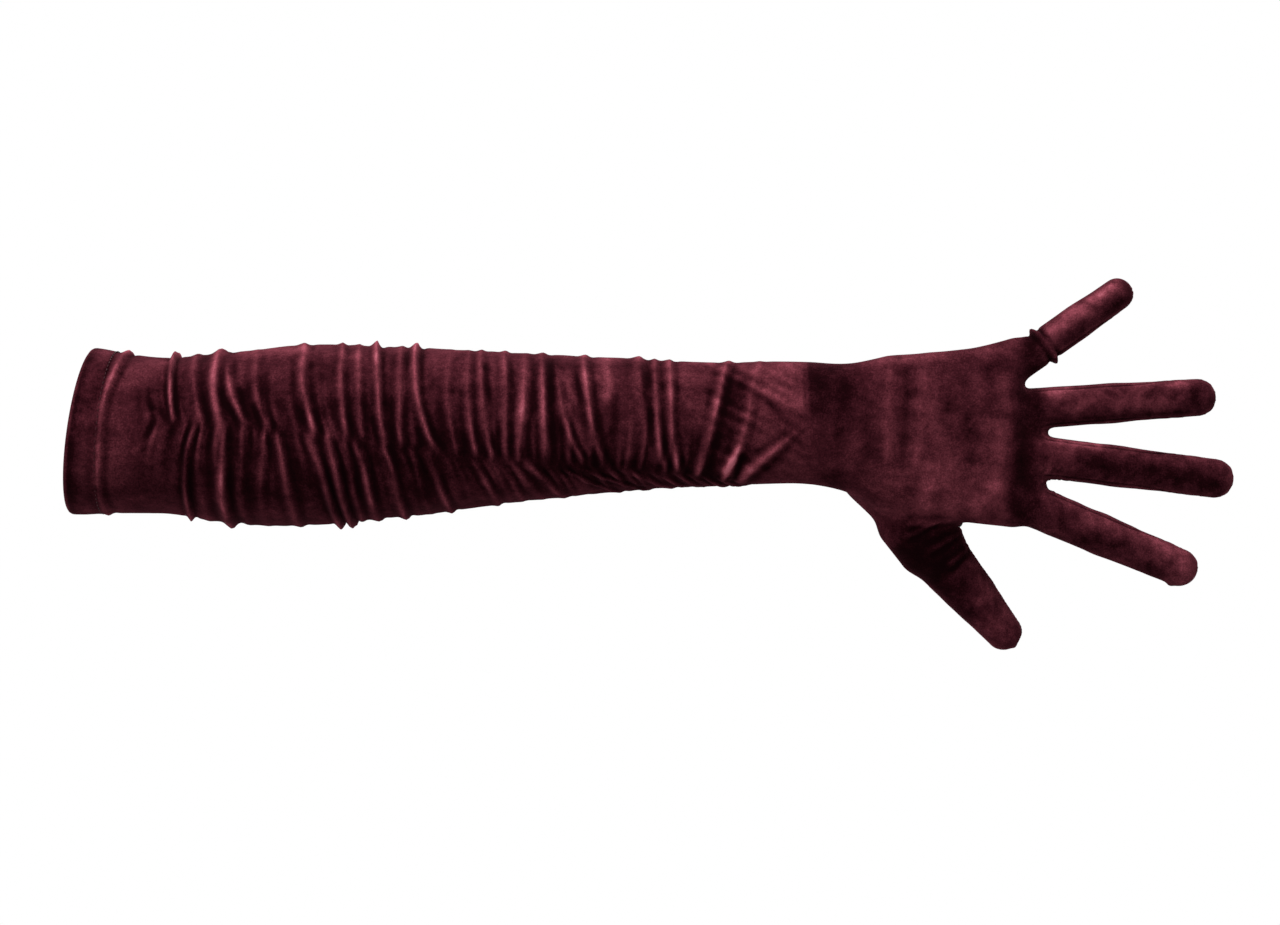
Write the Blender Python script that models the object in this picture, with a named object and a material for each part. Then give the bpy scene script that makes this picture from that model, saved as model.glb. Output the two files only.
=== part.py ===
"""A ruched velvet opera glove for the left hand, empty but holding the shape of an arm held out straight.

The arm runs along +X from the mouth of the sleeve to the fingertips. The back of the hand faces -Y, the
little finger is up and the thumb hangs down. The origin is the centre of the mouth, where the arm goes in.
Every cloth panel is cut as a flat slab and wrapped over the form of the arm or of a digit, with its
thickness inwards. Angles round a form are measured from the back of the hand, 0, through the thumb side,
90 degrees, to the palm, 180 degrees. Lengths are in metres.
"""

import math

import bmesh
import bpy
from mathutils import Vector

# Driving dimensions
CLOTH = 0.0012  # pile and backing together
GAP = 0.0004  # between two panels along a sewn edge
HEM_DEPTH = 0.013
MOUTH_SLANT = 0.14  # how far the mouth leans towards the hand for each metre up
SLANT_END = 0.060
ELBOW_START = 0.024
ELBOW_END = 0.100
WRIST_START = 0.298
WRIST_END = 0.327
KNUCKLE_LINE = 0.408
RUCHE_START = 0.036
RUCHE_END = 0.286
ELASTIC_WIDTH = 0.006
ELASTIC_THICKNESS = 0.0008

# The arm: distance from the mouth, half height, half depth, height of the centre
SECTIONS = (
    (0.000, 0.0358, 0.0345, 0.0000),
    (0.036, 0.0335, 0.0330, -0.0020),
    (0.066, 0.0370, 0.0355, -0.0028),
    (0.100, 0.0388, 0.0370, -0.0017),
    (0.140, 0.0364, 0.0350, -0.0004),
    (0.184, 0.0323, 0.0305, 0.0013),
    (0.235, 0.0283, 0.0250, 0.0026),
    (0.270, 0.0265, 0.0215, 0.0030),
    (0.312, 0.0263, 0.0190, 0.0032),
    (0.330, 0.0280, 0.0176, 0.0012),
    (0.348, 0.0335, 0.0160, -0.0010),
    (0.368, 0.0360, 0.0145, -0.0020),
    (0.388, 0.0384, 0.0122, -0.0016),
    (0.408, 0.0425, 0.0088, 0.0000),
)
# The gathered seam winds from the front of the upper arm to the thumb side of the wrist: distance, angle
SEAM_TURNS = (
    (0.000, -14),
    (0.037, -11),
    (0.119, 4),
    (0.184, 25),
    (0.231, 38),
    (0.268, 56),
    (0.298, 90),
    (0.408, 90),
)

# Each finger: height on the knuckle line, slope of its axis in degrees, length, distance to its bend, half
# width at the root and at the tip, half depth, and whether a strip is sewn in on its little-finger side and
# on its thumb side
FINGERS = {
    "index": (-0.0321, -22.8, 0.0762, 0.033, 0.0092, 0.0080, 0.0080, (True, False)),
    "middle": (-0.0106, -7.1, 0.0868, 0.037, 0.0090, 0.0082, 0.0082, (True, True)),
    "ring": (0.0097, 3.8, 0.0788, 0.034, 0.0089, 0.0078, 0.0079, (True, True)),
    "little": (0.0332, 35.2, 0.0512, 0.024, 0.0077, 0.0068, 0.0070, (False, True)),
}
STRIP_HALF_ANGLE = 34
STRIP_TAPER_START = 0.55  # shares of the finger's length
STRIP_END = 0.86
# Between the fingers, a bridge of cloth joins the back to the palm: height of its middle, half width
WEBS = {
    "web_index_middle": (-0.0209, 0.0007),
    "web_middle_ring": (-0.0003, 0.0006),
    "web_ring_little": (0.0212, 0.0018),
}

# The thumb points down, forwards and towards the palm
THUMB_ROOT = Vector((0.3658, 0.0130, -0.0500))
THUMB_AXIS = Vector((0.634, 0.287, -0.718)).normalized()
THUMB_CLOSES = Vector((0.0, 0.85, 0.53))  # the way that the thumb's tip moves as it bends
THUMB_LENGTH = 0.0605
THUMB_BEND = 0.0290
THUMB_HALF_WIDTHS = (0.0136, 0.0080)
THUMB_HALF_DEPTH = 0.0098
GUSSET_HEEL = Vector((0.3495, 0.0020, -0.0170))
GUSSET_HALF_WIDTH = 0.0202
GUSSET_HALF_DEPTH = 0.0095

WINE = (0.115, 0.016, 0.032)
WINE_DARK = (0.070, 0.011, 0.022)
ELASTIC_BLACK = (0.030, 0.026, 0.028)


def clear_scene():
    for obj in list(bpy.data.objects):
        bpy.data.objects.remove(obj)


def new_collection(name):
    made = bpy.data.collections.new(name)
    bpy.context.scene.collection.children.link(made)
    return made


def cloth_material(name, colour, roughness):
    made = bpy.data.materials.new(name)
    made.use_nodes = True
    shader = made.node_tree.nodes["Principled BSDF"]
    shader.inputs["Base Color"].default_value = (*colour, 1.0)
    shader.inputs["Roughness"].default_value = roughness
    shader.inputs["Metallic"].default_value = 0.0
    return made


def smooth_between(table, at):
    """The row of a table at this distance, on a smooth curve through its rows."""
    last = len(table) - 2
    k = max(i for i in range(last + 1) if i == 0 or table[i][0] <= at)
    a, b = table[k], table[k + 1]
    before, after = table[max(k - 1, 0)], table[min(k + 2, last + 1)]
    span = b[0] - a[0]
    t = min(max((at - a[0]) / span, 0.0), 1.0)
    row = []
    for i in range(1, len(a)):
        slope_a = (b[i] - before[i]) / (b[0] - before[0]) * span
        slope_b = (after[i] - a[i]) / (after[0] - a[0]) * span
        row.append(
            a[i] * (2 * t**3 - 3 * t**2 + 1)
            + slope_a * (t**3 - 2 * t**2 + t)
            + b[i] * (3 * t**2 - 2 * t**3)
            + slope_b * (t**3 - t**2)
        )
    return row


def arm_point(x, angle, inset=0.0):
    """A point on the form of the arm, that far inside its surface."""
    half_height, half_depth, middle = smooth_between(SECTIONS, x)
    back = math.cos(math.radians(angle))
    side = math.sin(math.radians(angle))
    z = middle - (half_height - inset) * side
    x += MOUTH_SLANT * z * max(1 - x / SLANT_END, 0.0) ** 2
    return Vector((x, -(half_depth - inset) * back, z))


def seam_angle(x):
    return smooth_between(SEAM_TURNS, x)[0]


def edge_angle(x, width):
    """The angle that this width takes up round the arm."""
    return math.degrees(width / min(smooth_between(SECTIONS, x)[:2]))


class Digit:
    """The form of a finger or a thumb: a tapering oval tube with a round tip."""

    def __init__(self, root, axis, palmward, length, bend, half_widths, half_depth):
        self.root = root
        self.axis = axis
        self.palmward = palmward
        self.across = palmward.cross(axis)  # towards the thumb side
        self.length = length
        self.bend = bend / length
        self.half_widths = half_widths
        self.half_depth = half_depth
        self.dome = half_widths[1]

    def point(self, along, angle, inset=0.0):
        """A point on the form or inside it. Along runs from 0 at the root to 1 at the tip."""
        straight = self.length - self.dome
        distance = min(along * self.length, straight)
        share = distance / straight
        width = self.half_widths[0] + (self.half_widths[1] - self.half_widths[0]) * share - inset
        depth = self.half_depth * (1 - 0.12 * share) - inset
        over = max(along * self.length - straight, 0.0) / self.dome * math.pi / 2
        distance += (self.dome - inset) * math.sin(over)
        width, depth = width * math.cos(over), depth * math.cos(over)
        back = math.cos(math.radians(angle))
        side = math.sin(math.radians(angle))
        return (
            self.root + self.axis * distance + self.across * (width * side) - self.palmward * (depth * back)
        )

    def knuckle_line_at(self, angle):
        """How far along the digit this side of it crosses the knuckle line."""
        return (self.root.x - self.point(0.0, angle).x) / (self.axis.x * self.length)


def object_from(bm, name, collection):
    bm.normal_update()
    bmesh.ops.recalc_face_normals(bm, faces=bm.faces)
    mesh = bpy.data.meshes.new(name)
    bm.to_mesh(mesh)
    bm.free()
    obj = bpy.data.objects.new(name, mesh)
    collection.objects.link(obj)
    return obj


def wrapped(name, place, rows, columns, collection, material, thickness=CLOTH):
    """A panel: a flat slab whose points go to place(u, v, inset), with u and v from 0 to 1."""
    bm = bmesh.new()
    bmesh.ops.create_grid(bm, x_segments=rows, y_segments=columns, size=0.5)
    layer = bmesh.ops.extrude_face_region(bm, geom=list(bm.faces))["geom"]
    inner = {item for item in layer if isinstance(item, bmesh.types.BMVert)}
    places = {
        vertex: place(vertex.co.x + 0.5, vertex.co.y + 0.5, thickness if vertex in inner else 0.0)
        for vertex in bm.verts
    }
    for vertex, point in places.items():
        vertex.co = point
    bmesh.ops.remove_doubles(bm, verts=bm.verts, dist=1e-6)
    obj = object_from(bm, name, collection)
    obj.data.materials.append(material)
    return obj


def sleeve_panel(name, start, end, side, rows, collection, material):
    """Half of the sleeve between two distances. The back half lies before the seam, the palm half past it."""
    first = -180 if side == "back" else 0

    def place(u, v, inset):
        x = start + (end - start) * u
        edge = edge_angle(x, GAP / 2)
        return arm_point(x, seam_angle(x) + first + edge + (180 - 2 * edge) * v, inset)

    return wrapped(name, place, rows, 12, collection, material)


def ruche_elastic(name, start, end, rows, collection, material):
    """The stretched elastic tape sewn inside the gathered seam."""

    def place(u, v, inset):
        x = start + (end - start) * u
        angle = seam_angle(x) + edge_angle(x, ELASTIC_WIDTH) * (v - 0.5)
        return arm_point(x, angle, CLOTH + 2.5 * GAP + inset)

    return wrapped(name, place, rows, 2, collection, material, ELASTIC_THICKNESS)


def turned_ring(name, profile, steps, collection, material):
    """A closed ring round the mouth: a profile of (distance, inset) points, spun round the arm's axis."""
    bm = bmesh.new()
    corners = [bm.verts.new((x, 0.0, 1.0 - inset)) for x, inset in profile]
    face = bm.faces.new(corners)
    edges = list(face.edges)
    bmesh.ops.delete(bm, geom=[face], context="FACES_ONLY")
    bmesh.ops.spin(
        bm, geom=edges, cent=(0, 0, 0), axis=(1, 0, 0), angle=2 * math.pi, steps=steps, use_merge=True
    )
    for vertex in bm.verts:
        inset = 1.0 - math.hypot(vertex.co.y, vertex.co.z)
        angle = math.degrees(math.atan2(-vertex.co.z, -vertex.co.y))
        vertex.co = arm_point(vertex.co.x, angle, inset)
    obj = object_from(bm, name, collection)
    obj.data.materials.append(material)
    return obj


def hem_and_elastic(collection, velvet, elastic):
    """The hem is the cloth folded in over an elastic band. The fold is open inside, towards the hand."""
    end = HEM_DEPTH - GAP
    inner = 0.0044
    hem = (
        (0.0, 0.0),
        (end, 0.0),
        (end, CLOTH),
        (CLOTH, CLOTH),
        (CLOTH, inner - CLOTH),
        (end, inner - CLOTH),
        (end, inner),
        (0.0, inner),
    )
    turned_ring("cuff_hem", hem, 36, collection, velvet)
    near, far = CLOTH + GAP, end
    top, bottom = CLOTH + GAP, inner - CLOTH - GAP
    turned_ring("cuff_elastic", ((near, top), (far, top), (far, bottom), (near, bottom)), 36, collection, elastic)


def tube(segments, rings, capped):
    """A bmesh of a tube one unit long, with rings of points along it."""
    bm = bmesh.new()
    bmesh.ops.create_cone(bm, cap_ends=capped, segments=segments, radius1=1, radius2=1, depth=1)
    lengthwise = [edge for edge in bm.edges if edge.verts[0].co.z * edge.verts[1].co.z < 0]
    bmesh.ops.subdivide_edges(bm, edges=lengthwise, cuts=rings, use_grid_fill=False)
    return bm


def tube_place(vertex):
    """Where a tube's point is: how far along, from 0 to 1, and its angle in degrees."""
    return vertex.co.z + 0.5, math.degrees(math.atan2(vertex.co.x, vertex.co.y))


def helper_from(bm, name, collection):
    """An object that only cuts others: it is no piece of the glove."""
    obj = object_from(bm, name, collection)
    obj.hide_render = True
    return obj


def cut(obj, name, cutter):
    made = obj.modifiers.new(name, "BOOLEAN")
    made.operation = "DIFFERENCE"
    made.solver = "EXACT"
    made.object = cutter


def thumb_frame():
    """The directions across the thumb and towards its palm side."""
    palmward = (THUMB_CLOSES - THUMB_AXIS * THUMB_CLOSES.dot(THUMB_AXIS)).normalized()
    return palmward.cross(THUMB_AXIS), palmward


def gusset_point(u, angle, inset):
    """A point on the flared base of the thumb, from its heel inside the hand, 0, to the thumb's root, 1."""
    across, palmward = thumb_frame()
    width = GUSSET_HALF_WIDTH + (THUMB_HALF_WIDTHS[0] - GUSSET_HALF_WIDTH) * u - inset
    depth = GUSSET_HALF_DEPTH + (THUMB_HALF_DEPTH - GUSSET_HALF_DEPTH) * u - inset
    back = math.cos(math.radians(angle))
    side = math.sin(math.radians(angle))
    return GUSSET_HEEL.lerp(THUMB_ROOT, u) + across * (width * side) - palmward * (depth * back)


def thumb_gusset(core, collection, material):
    """The flared base of the thumb, sewn into its hole in the hand."""
    bm = tube(32, 4, capped=False)
    layer = bmesh.ops.extrude_face_region(bm, geom=list(bm.faces))["geom"]
    inner = {item for item in layer if isinstance(item, bmesh.types.BMVert)}
    end = 1 - GAP / (THUMB_ROOT - GUSSET_HEEL).length
    for vertex in bm.verts:
        u, angle = tube_place(vertex)
        vertex.co = gusset_point(u * end, angle, CLOTH if vertex in inner else 0.0)
    obj = object_from(bm, "thumb_gusset", collection)
    obj.data.materials.append(material)
    cut(obj, "set into the hand", core)


def thumb_hole(collection):
    """What the thumb's base takes out of the hand panels, with the gap of its seam."""
    bm = tube(32, 1, capped=True)
    for vertex in bm.verts:
        u, angle = tube_place(vertex)
        vertex.co = gusset_point(1.2 * u - 0.1, angle, -GAP)
    return helper_from(bm, "thumb_hole", collection)


def hand_core(collection):
    """The inside of the hand, which trims the thumb's base to its seam."""
    bm = tube(48, 10, capped=True)
    for vertex in bm.verts:
        u, angle = tube_place(vertex)
        vertex.co = arm_point(WRIST_START + (KNUCKLE_LINE - WRIST_START) * u, angle, CLOTH)
    return helper_from(bm, "hand_core", collection)


def hand_panel(name, side, hole, collection, material):
    """The back or the palm of the hand, from the wrist to the knuckle line, with its half of the thumb hole."""
    first = -90 if side == "back" else 90

    def place(u, v, inset):
        x = WRIST_END + GAP + (KNUCKLE_LINE - 2 * GAP - WRIST_END) * u
        edge = edge_angle(x, GAP / 2)
        return arm_point(x, first + edge + (180 - 2 * edge) * v, inset)

    cut(wrapped(name, place, 8, 14, collection, material), "thumb hole", hole)


def finger_point_rows(digit, part):
    """The span of a digit's segment, with the gap at its ends."""
    gap = GAP / digit.length
    return (0.0, digit.bend - gap / 2) if part == "root" else (digit.bend + gap / 2, 1.0)


def strip_half_angle(along):
    share = min(max((along - STRIP_TAPER_START) / (STRIP_END - STRIP_TAPER_START), 0.0), 1.0)
    return STRIP_HALF_ANGLE * (1 - share) + 5 * share


def digit_panel(name, digit, span, angles, shift, rows, columns, collection, material, slanted=False):
    """A strip of a digit's cloth between two shares of its length. angles(along) gives its two edges there.
    Shift moves it away from its neighbour across the seam. A slanted one starts along the knuckle line."""

    def place(u, v, inset):
        along = span[0] + (span[1] - span[0]) * u
        low, high = angles(along)
        angle = low + (high - low) * v
        if slanted:
            along += digit.knuckle_line_at(angle) * (1 - u)
        return digit.point(along, angle, inset) + digit.palmward * shift

    return wrapped(name, place, rows, columns, collection, material)


def finger(name, facts, collection, velvet, strip_velvet):
    height, slope, length, bend, root, tip, half_depth, (little_strip, thumb_strip) = facts
    turn = math.radians(slope)
    axis = Vector((math.cos(turn), 0.0, math.sin(turn)))
    start = Vector((KNUCKLE_LINE, 0.0, height))
    digit = Digit(start, axis, Vector((0.0, 1.0, 0.0)), length, bend, (root, tip), half_depth)

    def back(along):
        away = strip_half_angle(along)
        return -90 + away * little_strip, 90 - away * thumb_strip

    def palm(along):
        away = strip_half_angle(along)
        return 90 + away * thumb_strip, 270 - away * little_strip

    def strip(middle):
        def angles(along):
            away = strip_half_angle(along) - 2.5
            return middle - away, middle + away

        return angles

    strips = [("thumb_side", 90)] * thumb_strip + [("little_side", -90)] * little_strip
    for part in ("root", "tip"):
        span = finger_point_rows(digit, part)
        rows = 4 if part == "root" else 9
        slanted = part == "root"
        for side, angles, shift in (("back", back, -GAP / 2), ("palm", palm, GAP / 2)):
            panel = f"{name}_{part}_{side}"
            digit_panel(panel, digit, span, angles, shift, rows, 7, collection, velvet, slanted)
        end = (span[0], min(span[1], STRIP_END))
        for side, middle in strips:
            panel = f"{name}_{part}_{side}_strip"
            digit_panel(panel, digit, end, strip(middle), 0.0, 4, 3, collection, strip_velvet, slanted)


def thumb(collection, velvet):
    _, palmward = thumb_frame()
    digit = Digit(
        THUMB_ROOT, THUMB_AXIS, palmward, THUMB_LENGTH, THUMB_BEND, THUMB_HALF_WIDTHS, THUMB_HALF_DEPTH
    )
    sides = {"back": ((-90, 90), -GAP / 2), "palm": ((90, 270), GAP / 2)}
    for part in ("root", "tip"):
        rows = 4 if part == "root" else 8
        for side, (angles, shift) in sides.items():
            panel = f"thumb_{part}_{side}"
            span = finger_point_rows(digit, part)
            digit_panel(panel, digit, span, lambda along, a=angles: a, shift, rows, 8, collection, velvet)


def web(name, height, half_width, collection, material):
    """The bridge of cloth between two fingers."""

    def place(u, v, inset):
        depth = smooth_between(SECTIONS, KNUCKLE_LINE)[1] - CLOTH - 3 * GAP
        return Vector((KNUCKLE_LINE - GAP - inset, depth * (2 * u - 1), height + half_width * (2 * v - 1)))

    wrapped(name, place, 2, 1, collection, material)


def main():
    clear_scene()
    glove = new_collection("opera_glove")
    helpers = new_collection("helpers")
    velvet = cloth_material("velvet", WINE, 0.85)
    strip_velvet = cloth_material("side_strip_velvet", WINE_DARK, 0.85)
    elastic = cloth_material("elastic", ELASTIC_BLACK, 0.7)

    hem_and_elastic(glove, velvet, elastic)
    lengths = {
        "upper_sleeve": (HEM_DEPTH, ELBOW_START, 1),
        "elbow_sleeve": (ELBOW_START + GAP, ELBOW_END, 7),
        "forearm_sleeve": (ELBOW_END + GAP, WRIST_START, 24),
        "wrist_sleeve": (WRIST_START + GAP, WRIST_END, 3),
    }
    for name, (start, end, rows) in lengths.items():
        for side in ("back", "palm"):
            sleeve_panel(f"{name}_{side}", start, end, side, rows, glove, velvet)
    ruche_elastic("elbow_ruche_elastic", RUCHE_START, ELBOW_END, 6, glove, elastic)
    ruche_elastic("forearm_ruche_elastic", ELBOW_END + GAP, RUCHE_END, 24, glove, elastic)

    hole = thumb_hole(helpers)
    core = hand_core(helpers)
    hand_panel("hand_back", "back", hole, glove, velvet)
    hand_panel("hand_palm", "palm", hole, glove, velvet)
    thumb_gusset(core, glove, velvet)
    thumb(glove, velvet)
    for name, facts in FINGERS.items():
        finger(name, facts, glove, velvet, strip_velvet)
    for name, (height, half_width) in WEBS.items():
        web(name, height, half_width, glove, strip_velvet)


main()
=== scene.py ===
"""The finished look of a ruched stretch-velvet opera glove for the left hand.

The cloth is one form: an oval sleeve that runs into a hand, four fingers and a thumb. The sleeve is a flat
grid of cloth wrapped round that form; the hand is blocked out from simple solids, remeshed and eased onto
the form. Folds, gathers, seams and the hem are raised on it, and it is then cut into pieces at the joints.
Lengths are in metres unless a name says mm.
"""

import math

import bmesh
import bpy
import numpy as np
from mathutils import Matrix, Vector

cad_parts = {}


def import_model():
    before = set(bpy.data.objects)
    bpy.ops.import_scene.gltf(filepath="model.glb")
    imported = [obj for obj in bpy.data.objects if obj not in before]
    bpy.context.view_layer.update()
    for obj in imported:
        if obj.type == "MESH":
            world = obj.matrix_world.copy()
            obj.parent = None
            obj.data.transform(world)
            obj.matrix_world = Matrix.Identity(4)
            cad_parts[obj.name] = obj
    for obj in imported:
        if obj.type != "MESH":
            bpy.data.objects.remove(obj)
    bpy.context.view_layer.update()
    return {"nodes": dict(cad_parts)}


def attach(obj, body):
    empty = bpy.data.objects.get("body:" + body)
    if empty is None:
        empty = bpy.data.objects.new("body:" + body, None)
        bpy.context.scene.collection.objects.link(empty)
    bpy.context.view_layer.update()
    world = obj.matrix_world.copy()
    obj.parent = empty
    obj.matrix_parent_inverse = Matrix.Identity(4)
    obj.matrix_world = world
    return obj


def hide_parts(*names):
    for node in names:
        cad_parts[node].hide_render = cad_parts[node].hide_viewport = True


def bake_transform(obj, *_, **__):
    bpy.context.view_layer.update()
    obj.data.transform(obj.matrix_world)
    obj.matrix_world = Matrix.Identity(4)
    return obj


MM = 0.001

# The form, as the solids have it: distance from the mouth, half height, half depth and centre's height
SECTIONS = (
    (0.000, 0.0358, 0.0345, 0.0000),
    (0.036, 0.0335, 0.0330, -0.0020),
    (0.066, 0.0370, 0.0355, -0.0028),
    (0.100, 0.0388, 0.0370, -0.0017),
    (0.140, 0.0364, 0.0350, -0.0004),
    (0.184, 0.0323, 0.0305, 0.0013),
    (0.235, 0.0283, 0.0250, 0.0026),
    (0.270, 0.0265, 0.0215, 0.0030),
    (0.312, 0.0263, 0.0190, 0.0032),
    (0.330, 0.0280, 0.0176, 0.0012),
    (0.348, 0.0335, 0.0160, -0.0010),
    (0.368, 0.0360, 0.0145, -0.0020),
    (0.388, 0.0384, 0.0122, -0.0016),
    (0.408, 0.0425, 0.0088, 0.0000),
)
# Where the gathers run: distance from the mouth, and angle in degrees from the back of the hand
SEAM_TURNS = (
    (0.000, -14),
    (0.037, -11),
    (0.119, 4),
    (0.184, 25),
    (0.231, 38),
    (0.268, 56),
    (0.298, 90),
    (0.408, 90),
)
MOUTH_SLANT = 0.14
SLANT_END = 0.060
HAND_FORM_FROM = 0.285  # from here the sleeve follows the hand's form
KNUCKLE_LINE = 0.408
PALM_END = 0.4035
WRIST_CUT = 0.325  # where the sleeve's cloth is cut from the hand's

# Height on the knuckle line, slope, length, bend, half widths at root and tip, half depth, and where the
# finger's own cloth starts, bends into its tip, and is cut, all measured along its axis
FINGERS = {
    "index": (-0.0321, -22.8, 0.0762, 0.033, 0.0092, 0.0080, 0.0080, (0.002, 0.022, 0.024, 0.026, 0.041)),
    "middle": (-0.0106, -7.1, 0.0868, 0.037, 0.0090, 0.0082, 0.0082, (0.0075, 0.028, 0.029, 0.030, 0.045)),
    "ring": (0.0097, 3.8, 0.0788, 0.034, 0.0089, 0.0078, 0.0079, (0.0065, 0.026, 0.027, 0.028, 0.042)),
    "little": (0.0332, 35.2, 0.0512, 0.024, 0.0077, 0.0068, 0.0070, (-0.004, 0.014, 0.016, 0.017, 0.030)),
}
THUMB_ROOT = Vector((0.3658, 0.0130, -0.0500))
THUMB_AXIS = Vector((0.634, 0.287, -0.718)).normalized()
THUMB_CLOSES = Vector((0.0, 0.85, 0.53))
THUMB_LENGTH = 0.0605
THUMB_BEND = 0.0290
THUMB_HALF_WIDTHS = (0.0136, 0.0080)
THUMB_HALF_DEPTH = 0.0098
THUMB_CUTS = (0.002, 0.018, 0.020, 0.022, 0.036)
GUSSET_HEEL = Vector((0.3495, 0.0020, -0.0170))
GUSSET_HALF_WIDTH = 0.0202
GUSSET_HALF_DEPTH = 0.0095

CLOTH = 0.0010
HEM_TURN = 0.0017  # radius of the fold at the mouth
HEM_DEPTH = 0.0128  # from the mouth to the groove of its stitches
RAW_EDGE = 0.0012  # how far the raw edge stops short of that
TURNED_IN = HEM_DEPTH - RAW_EDGE - HEM_TURN  # flat width of the cloth turned inside
STITCH_LINE = HEM_DEPTH - 0.0004
STITCHES = 84
STITCH = (0.00092, 0.00030, 0.00026)  # half length, half height, half width
TAPE_WIDTH = 0.006
TAPE_THICKNESS = 0.0008
TAPE_INSET = 0.0034

# Folds that run round the sleeve from the gathers to the gathers. Distances in mm from the mouth: leaving
# the gathers upwards, over the top, underneath, and coming back to the gathers; then heights in mm at the
# upper gathers, the top, the underside and the lower gathers; then half the width of the crest
FOLDS = (
    (13.8, 17.5, 14, 13.8, 0.7, 1.6, 0.9, 0.7, 1.7),
    (45, 40.4, 47.3, 54.5, 1.4, 3.0, 1.9, 1.6, 1.1),
    (56.8, 50.3, 55, 57, 1.3, 0.7, 0.3, 0.6, 1.8),
    (66, 60, 64.5, 65.4, 1.0, 1.9, 2.3, 1.5, 2.1),
    (78.3, 63, 72, 74, 1.5, 0.6, 0.2, 0.9, 1.8),
    (86, 76, 80, 84, 1.3, 0.1, 0.2, 0.8, 1.6),
    (104.5, 96, 94, 88, 1.5, 0.9, 0.8, 1.3, 1.9),
    (118, 112.7, 111.4, 101, 1.4, 0.9, 2.7, 1.5, 1.4),
    (134.2, 127.3, 116.3, 109, 1.8, 2.4, 2.6, 1.0, 1.5),
    (125, 120, 121, 116, 0.9, 0.5, 0.5, 0.9, 1.3),
    (140.6, 137.8, 128, 120.4, 1.2, 0.6, 1.0, 1.5, 1.6),
    (155.2, 143.2, 139, 132, 1.9, 2.2, 1.4, 1.2, 1.6),
    (163, 158, 150, 143, 1.0, 0.1, 0.2, 1.0, 1.4),
    (172, 166, 158.7, 150, 1.2, 0.2, 1.1, 1.2, 1.5),
    (178.5, 172, 179.3, 168, 1.3, 0.6, 0.8, 1.3, 1.5),
    (184, 182.8, 190, 178, 1.3, 0.7, 0.2, 0.8, 1.5),
    (188, 192, 199, 184, 1.2, 0.2, 0.2, 0.8, 1.8),
    (199.5, 198.5, 208, 191, 1.5, 0.8, 0.5, 1.3, 1.7),
    (217, 204, 232, 201, 1.5, 0.0, 0.5, 1.2, 1.4),
    (225.6, 216.5, 245, 209, 1.6, 0.9, 0.5, 1.2, 1.8),
    (246.5, 239.5, 255, 231, -0.4, 1.2, 0.5, 1.1, 2.3),
    (250.8, 246, 262, 243, 1.3, 0.6, 0.3, 1.0, 1.4),
    (256.5, 252.5, 269, 253, 1.4, 0.7, 0.4, 0.9, 1.5),
    (263.8, 277, 281, 265, 1.6, 0.9, 0.4, 0.8, 1.8),
    (275, 290, 292, 275, 1.3, 0.3, 0.4, 0.6, 1.6),
)
# Creases that lie across the cloth in one place: two ends, (distance, height) in mm, and their height and
# half width in mm
CREASES = (
    ((313.0, 5.0), (279.0, -22.0), 1.7, 1.9),
    ((285.5, -3.0), (272.5, -20.0), 1.3, 2.0),
    ((372.0, -36.0), (352.0, -46.0), 0.7, 1.1),
    ((385.0, -39.0), (361.0, -53.0), 0.9, 1.2),
    ((388.0, -44.0), (370.0, -60.0), 0.6, 1.2),
    ((380.0, -37.5), (352.0, -40.0), 0.5, 1.3),
)
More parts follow.
